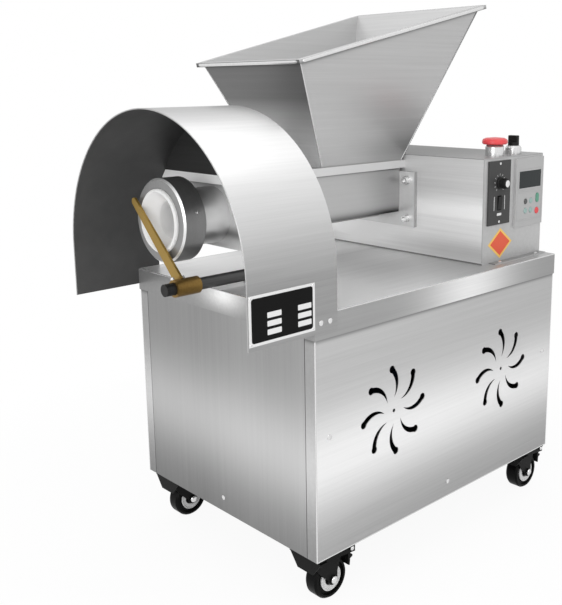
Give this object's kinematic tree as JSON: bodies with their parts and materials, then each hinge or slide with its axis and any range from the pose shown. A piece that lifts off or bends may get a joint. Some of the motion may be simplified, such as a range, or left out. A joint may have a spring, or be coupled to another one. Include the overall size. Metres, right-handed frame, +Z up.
{
  "type": "dough divider",
  "caption": "Stainless screw-fed dough divider on braked casters: tapered hopper, feed screw and white mouthpiece, brass rotary cutter under an arched guard, rear control box.",
  "frame": {"origin": "on the floor under the middle of the machine's overall box", "axes": "+Z up, -Y towards the mouthpiece, cutter and guard, +X towards the vented side with the controls"},
  "size_m": [0.4574, 0.754, 0.9188],
  "materials": {
    "brushed_stainless": "brushed",
    "deck_stainless": "polished sheet",
    "dark_stainless": "brushed, in shadow",
    "cast_feed": "machined",
    "bright_steel": "polished",
    "shaft_steel": "turned",
    "brass": "machined, worn",
    "white_nylon": "turned nylon",
    "frame_paint": "satin paint",
    "drive_paint": "satin paint",
    "pulley_iron": "turned",
    "belt_rubber": "matte",
    "black_plastic": "satin",
    "grey_plastic": "satin",
    "window": "gloss",
    "red_plastic": "gloss",
    "green_plastic": "gloss",
    "caster_black": "satin black",
    "wheel_rubber": "matte tread"
  },
  "bodies": {
    "machine": {"frame": "frame_paint", "base_plate": "frame_paint", "left_panel": "brushed_stainless", "right_panel": "brushed_stainless", "front_panel": "brushed_stainless", "rear_panel": "brushed_stainless", "top_deck": "deck_stainless", "pan_screws": "bright_steel", "guard": "brushed_stainless", "guard_back": "dark_stainless", "rating_plate": "black_plastic", "control_box": "brushed_stainless", "feed_box": "cast_feed", "feed_bolts": "bright_steel", "hopper": "brushed_stainless", "barrel": "cast_feed", "collar_nut": "bright_steel", "mouthpiece": "white_nylon", "gearbox": "drive_paint", "drive_belt": "belt_rubber", "main_motor": "drive_paint", "cutter_motor": "drive_paint", "cutter_bearings": "drive_paint", "speed_controller": "black_plastic", "inverter": "grey_plastic", "display_window": "window", "button_bezels": "bright_steel", "caster_plates": "caster_black"},
    "feed": {"feed_screw": "bright_steel", "drive_shaft": "shaft_steel"},
    "gearbox_pulley": {"gearbox_pulley": "pulley_iron"},
    "motor_pulley": {"motor_pulley": "pulley_iron"},
    "cutter": {"cutter_shaft": "shaft_steel", "cutter_gear": "shaft_steel", "cutter_hub": "brass", "cutter_blade": "brass", "cutter_screws": "bright_steel"},
    "cutter_pinion": {"cutter_pinion": "shaft_steel"},
    "speed_knob": {"speed_knob": "black_plastic"},
    "rocker": {"rocker": "black_plastic"},
    "emergency_stop": {"emergency_stop": "red_plastic"},
    "selector_knob": {"selector_knob": "black_plastic"},
    "run_key": {"run_key": "green_plastic"},
    "stop_key": {"stop_key": "red_plastic"},
    "menu_key": {"menu_key": "grey_plastic"},
    "shift_key": {"shift_key": "grey_plastic"},
    "up_key": {"up_key": "grey_plastic"},
    "down_key": {"down_key": "grey_plastic"},
    "front_left_fork": {"front_left_fork": "caster_black"},
    "front_left_wheel": {"front_left_wheel": "wheel_rubber"},
    "front_left_brake": {"front_left_brake": "caster_black"},
    "front_right_fork": {"front_right_fork": "caster_black"},
    "front_right_wheel": {"front_right_wheel": "wheel_rubber"},
    "front_right_brake": {"front_right_brake": "caster_black"},
    "rear_left_fork": {"rear_left_fork": "caster_black"},
    "rear_left_wheel": {"rear_left_wheel": "wheel_rubber"},
    "rear_left_brake": {"rear_left_brake": "caster_black"},
    "rear_right_fork": {"rear_right_fork": "caster_black"},
    "rear_right_wheel": {"rear_right_wheel": "wheel_rubber"},
    "rear_right_brake": {"rear_right_brake": "caster_black"}
  },
  "joints": [
    {"name": "cutter_spin", "type": "hinge", "parent": "machine", "child": "cutter", "pos_m": [0, -0.32, 0.481], "axis": [0, 1, 0], "continuous": true},
    {"name": "cutter_pinion_spin", "type": "hinge", "parent": "machine", "child": "cutter_pinion", "pos_m": [0, -0.136, 0.418], "axis": [0, 1, 0], "continuous": true},
    {"name": "motor_spin", "type": "hinge", "parent": "machine", "child": "motor_pulley", "pos_m": [0.011, 0.24, 0.195], "axis": [1, 0, 0], "continuous": true},
    {"name": "gearbox_pulley_spin", "type": "hinge", "parent": "machine", "child": "gearbox_pulley", "pos_m": [0.011, 0.24, 0.524], "axis": [1, 0, 0], "continuous": true},
    {"name": "feed_spin", "type": "hinge", "parent": "machine", "child": "feed", "pos_m": [-0.066, 0, 0.574], "axis": [0, 1, 0], "continuous": true},
    {"name": "speed_knob_turn", "type": "hinge", "parent": "machine", "child": "speed_knob", "pos_m": [0.194, 0.2165, 0.608], "axis": [1, 0, 0], "range_deg": [-140, 140]},
    {"name": "rocker_tilt", "type": "hinge", "parent": "machine", "child": "rocker", "pos_m": [0.192, 0.2165, 0.573], "axis": [0, 1, 0], "range_deg": [-10, 0]},
    {"name": "emergency_stop_press", "type": "slide", "parent": "machine", "child": "emergency_stop", "axis": [0, 0, -1], "range_m": [0, 0.005]},
    {"name": "selector_turn", "type": "hinge", "parent": "machine", "child": "selector_knob", "pos_m": [0.16, 0.304, 0.652], "axis": [0, 0, 1], "range_deg": [-45, 45]},
    {"name": "run_key_press", "type": "slide", "parent": "machine", "child": "run_key", "axis": [-1, 0, 0], "range_m": [0, 0.0008], "stiffness_N_per_m": 400},
    {"name": "stop_key_press", "type": "slide", "parent": "machine", "child": "stop_key", "axis": [-1, 0, 0], "range_m": [0, 0.0008], "stiffness_N_per_m": 400},
    {"name": "menu_key_press", "type": "slide", "parent": "machine", "child": "menu_key", "axis": [-1, 0, 0], "range_m": [0, 0.0008], "stiffness_N_per_m": 400},
    {"name": "shift_key_press", "type": "slide", "parent": "machine", "child": "shift_key", "axis": [-1, 0, 0], "range_m": [0, 0.0008], "stiffness_N_per_m": 400},
    {"name": "up_key_press", "type": "slide", "parent": "machine", "child": "up_key", "axis": [-1, 0, 0], "range_m": [0, 0.0008], "stiffness_N_per_m": 400},
    {"name": "down_key_press", "type": "slide", "parent": "machine", "child": "down_key", "axis": [-1, 0, 0], "range_m": [0, 0.0008], "stiffness_N_per_m": 400},
    {"name": "front_left_swivel", "type": "hinge", "parent": "machine", "child": "front_left_fork", "pos_m": [-0.185, -0.218, 0.0816], "axis": [0, 0, 1], "continuous": true},
    {"name": "front_left_roll", "type": "hinge", "parent": "front_left_fork", "child": "front_left_wheel", "pos_m": [-0.185, -0.203, 0.033], "axis": [1, 0, 0], "continuous": true},
    {"name": "front_left_brake_tilt", "type": "hinge", "parent": "front_left_fork", "child": "front_left_brake", "pos_m": [-0.185, -0.164, 0.0706], "axis": [1, 0, 0], "range_deg": [-6, 25]},
    {"name": "front_right_swivel", "type": "hinge", "parent": "machine", "child": "front_right_fork", "pos_m": [0.185, -0.218, 0.0816], "axis": [0, 0, 1], "continuous": true},
    {"name": "front_right_roll", "type": "hinge", "parent": "front_right_fork", "child": "front_right_wheel", "pos_m": [0.185, -0.203, 0.033], "axis": [1, 0, 0], "continuous": true},
    {"name": "front_right_brake_tilt", "type": "hinge", "parent": "front_right_fork", "child": "front_right_brake", "pos_m": [0.185, -0.164, 0.0706], "axis": [1, 0, 0], "range_deg": [-6, 25]},
    {"name": "rear_left_swivel", "type": "hinge", "parent": "machine", "child": "rear_left_fork", "pos_m": [-0.185, 0.314, 0.0816], "axis": [0, 0, 1], "continuous": true},
    {"name": "rear_left_roll", "type": "hinge", "parent": "rear_left_fork", "child": "rear_left_wheel", "pos_m": [-0.185, 0.329, 0.033], "axis": [1, 0, 0], "continuous": true},
    {"name": "rear_left_brake_tilt", "type": "hinge", "parent": "rear_left_fork", "child": "rear_left_brake", "pos_m": [-0.185, 0.368, 0.0706], "axis": [1, 0, 0], "range_deg": [-6, 25]},
    {"name": "rear_right_swivel", "type": "hinge", "parent": "machine", "child": "rear_right_fork", "pos_m": [0.185, 0.314, 0.0816], "axis": [0, 0, 1], "continuous": true},
    {"name": "rear_right_roll", "type": "hinge", "parent": "rear_right_fork", "child": "rear_right_wheel", "pos_m": [0.185, 0.329, 0.033], "axis": [1, 0, 0], "continuous": true},
    {"name": "rear_right_brake_tilt", "type": "hinge", "parent": "rear_right_fork", "child": "rear_right_brake", "pos_m": [0.185, 0.368, 0.0706], "axis": [1, 0, 0], "range_deg": [-6, 25]}
  ],
  "couplings": [
    {"joint": "cutter_pinion_spin", "follows": "cutter_spin", "ratio": -1.3333},
    {"joint": "gearbox_pulley_spin", "follows": "motor_spin", "ratio": 0.77778},
    {"joint": "feed_spin", "follows": "motor_spin", "ratio": 0.038889}
  ]
}
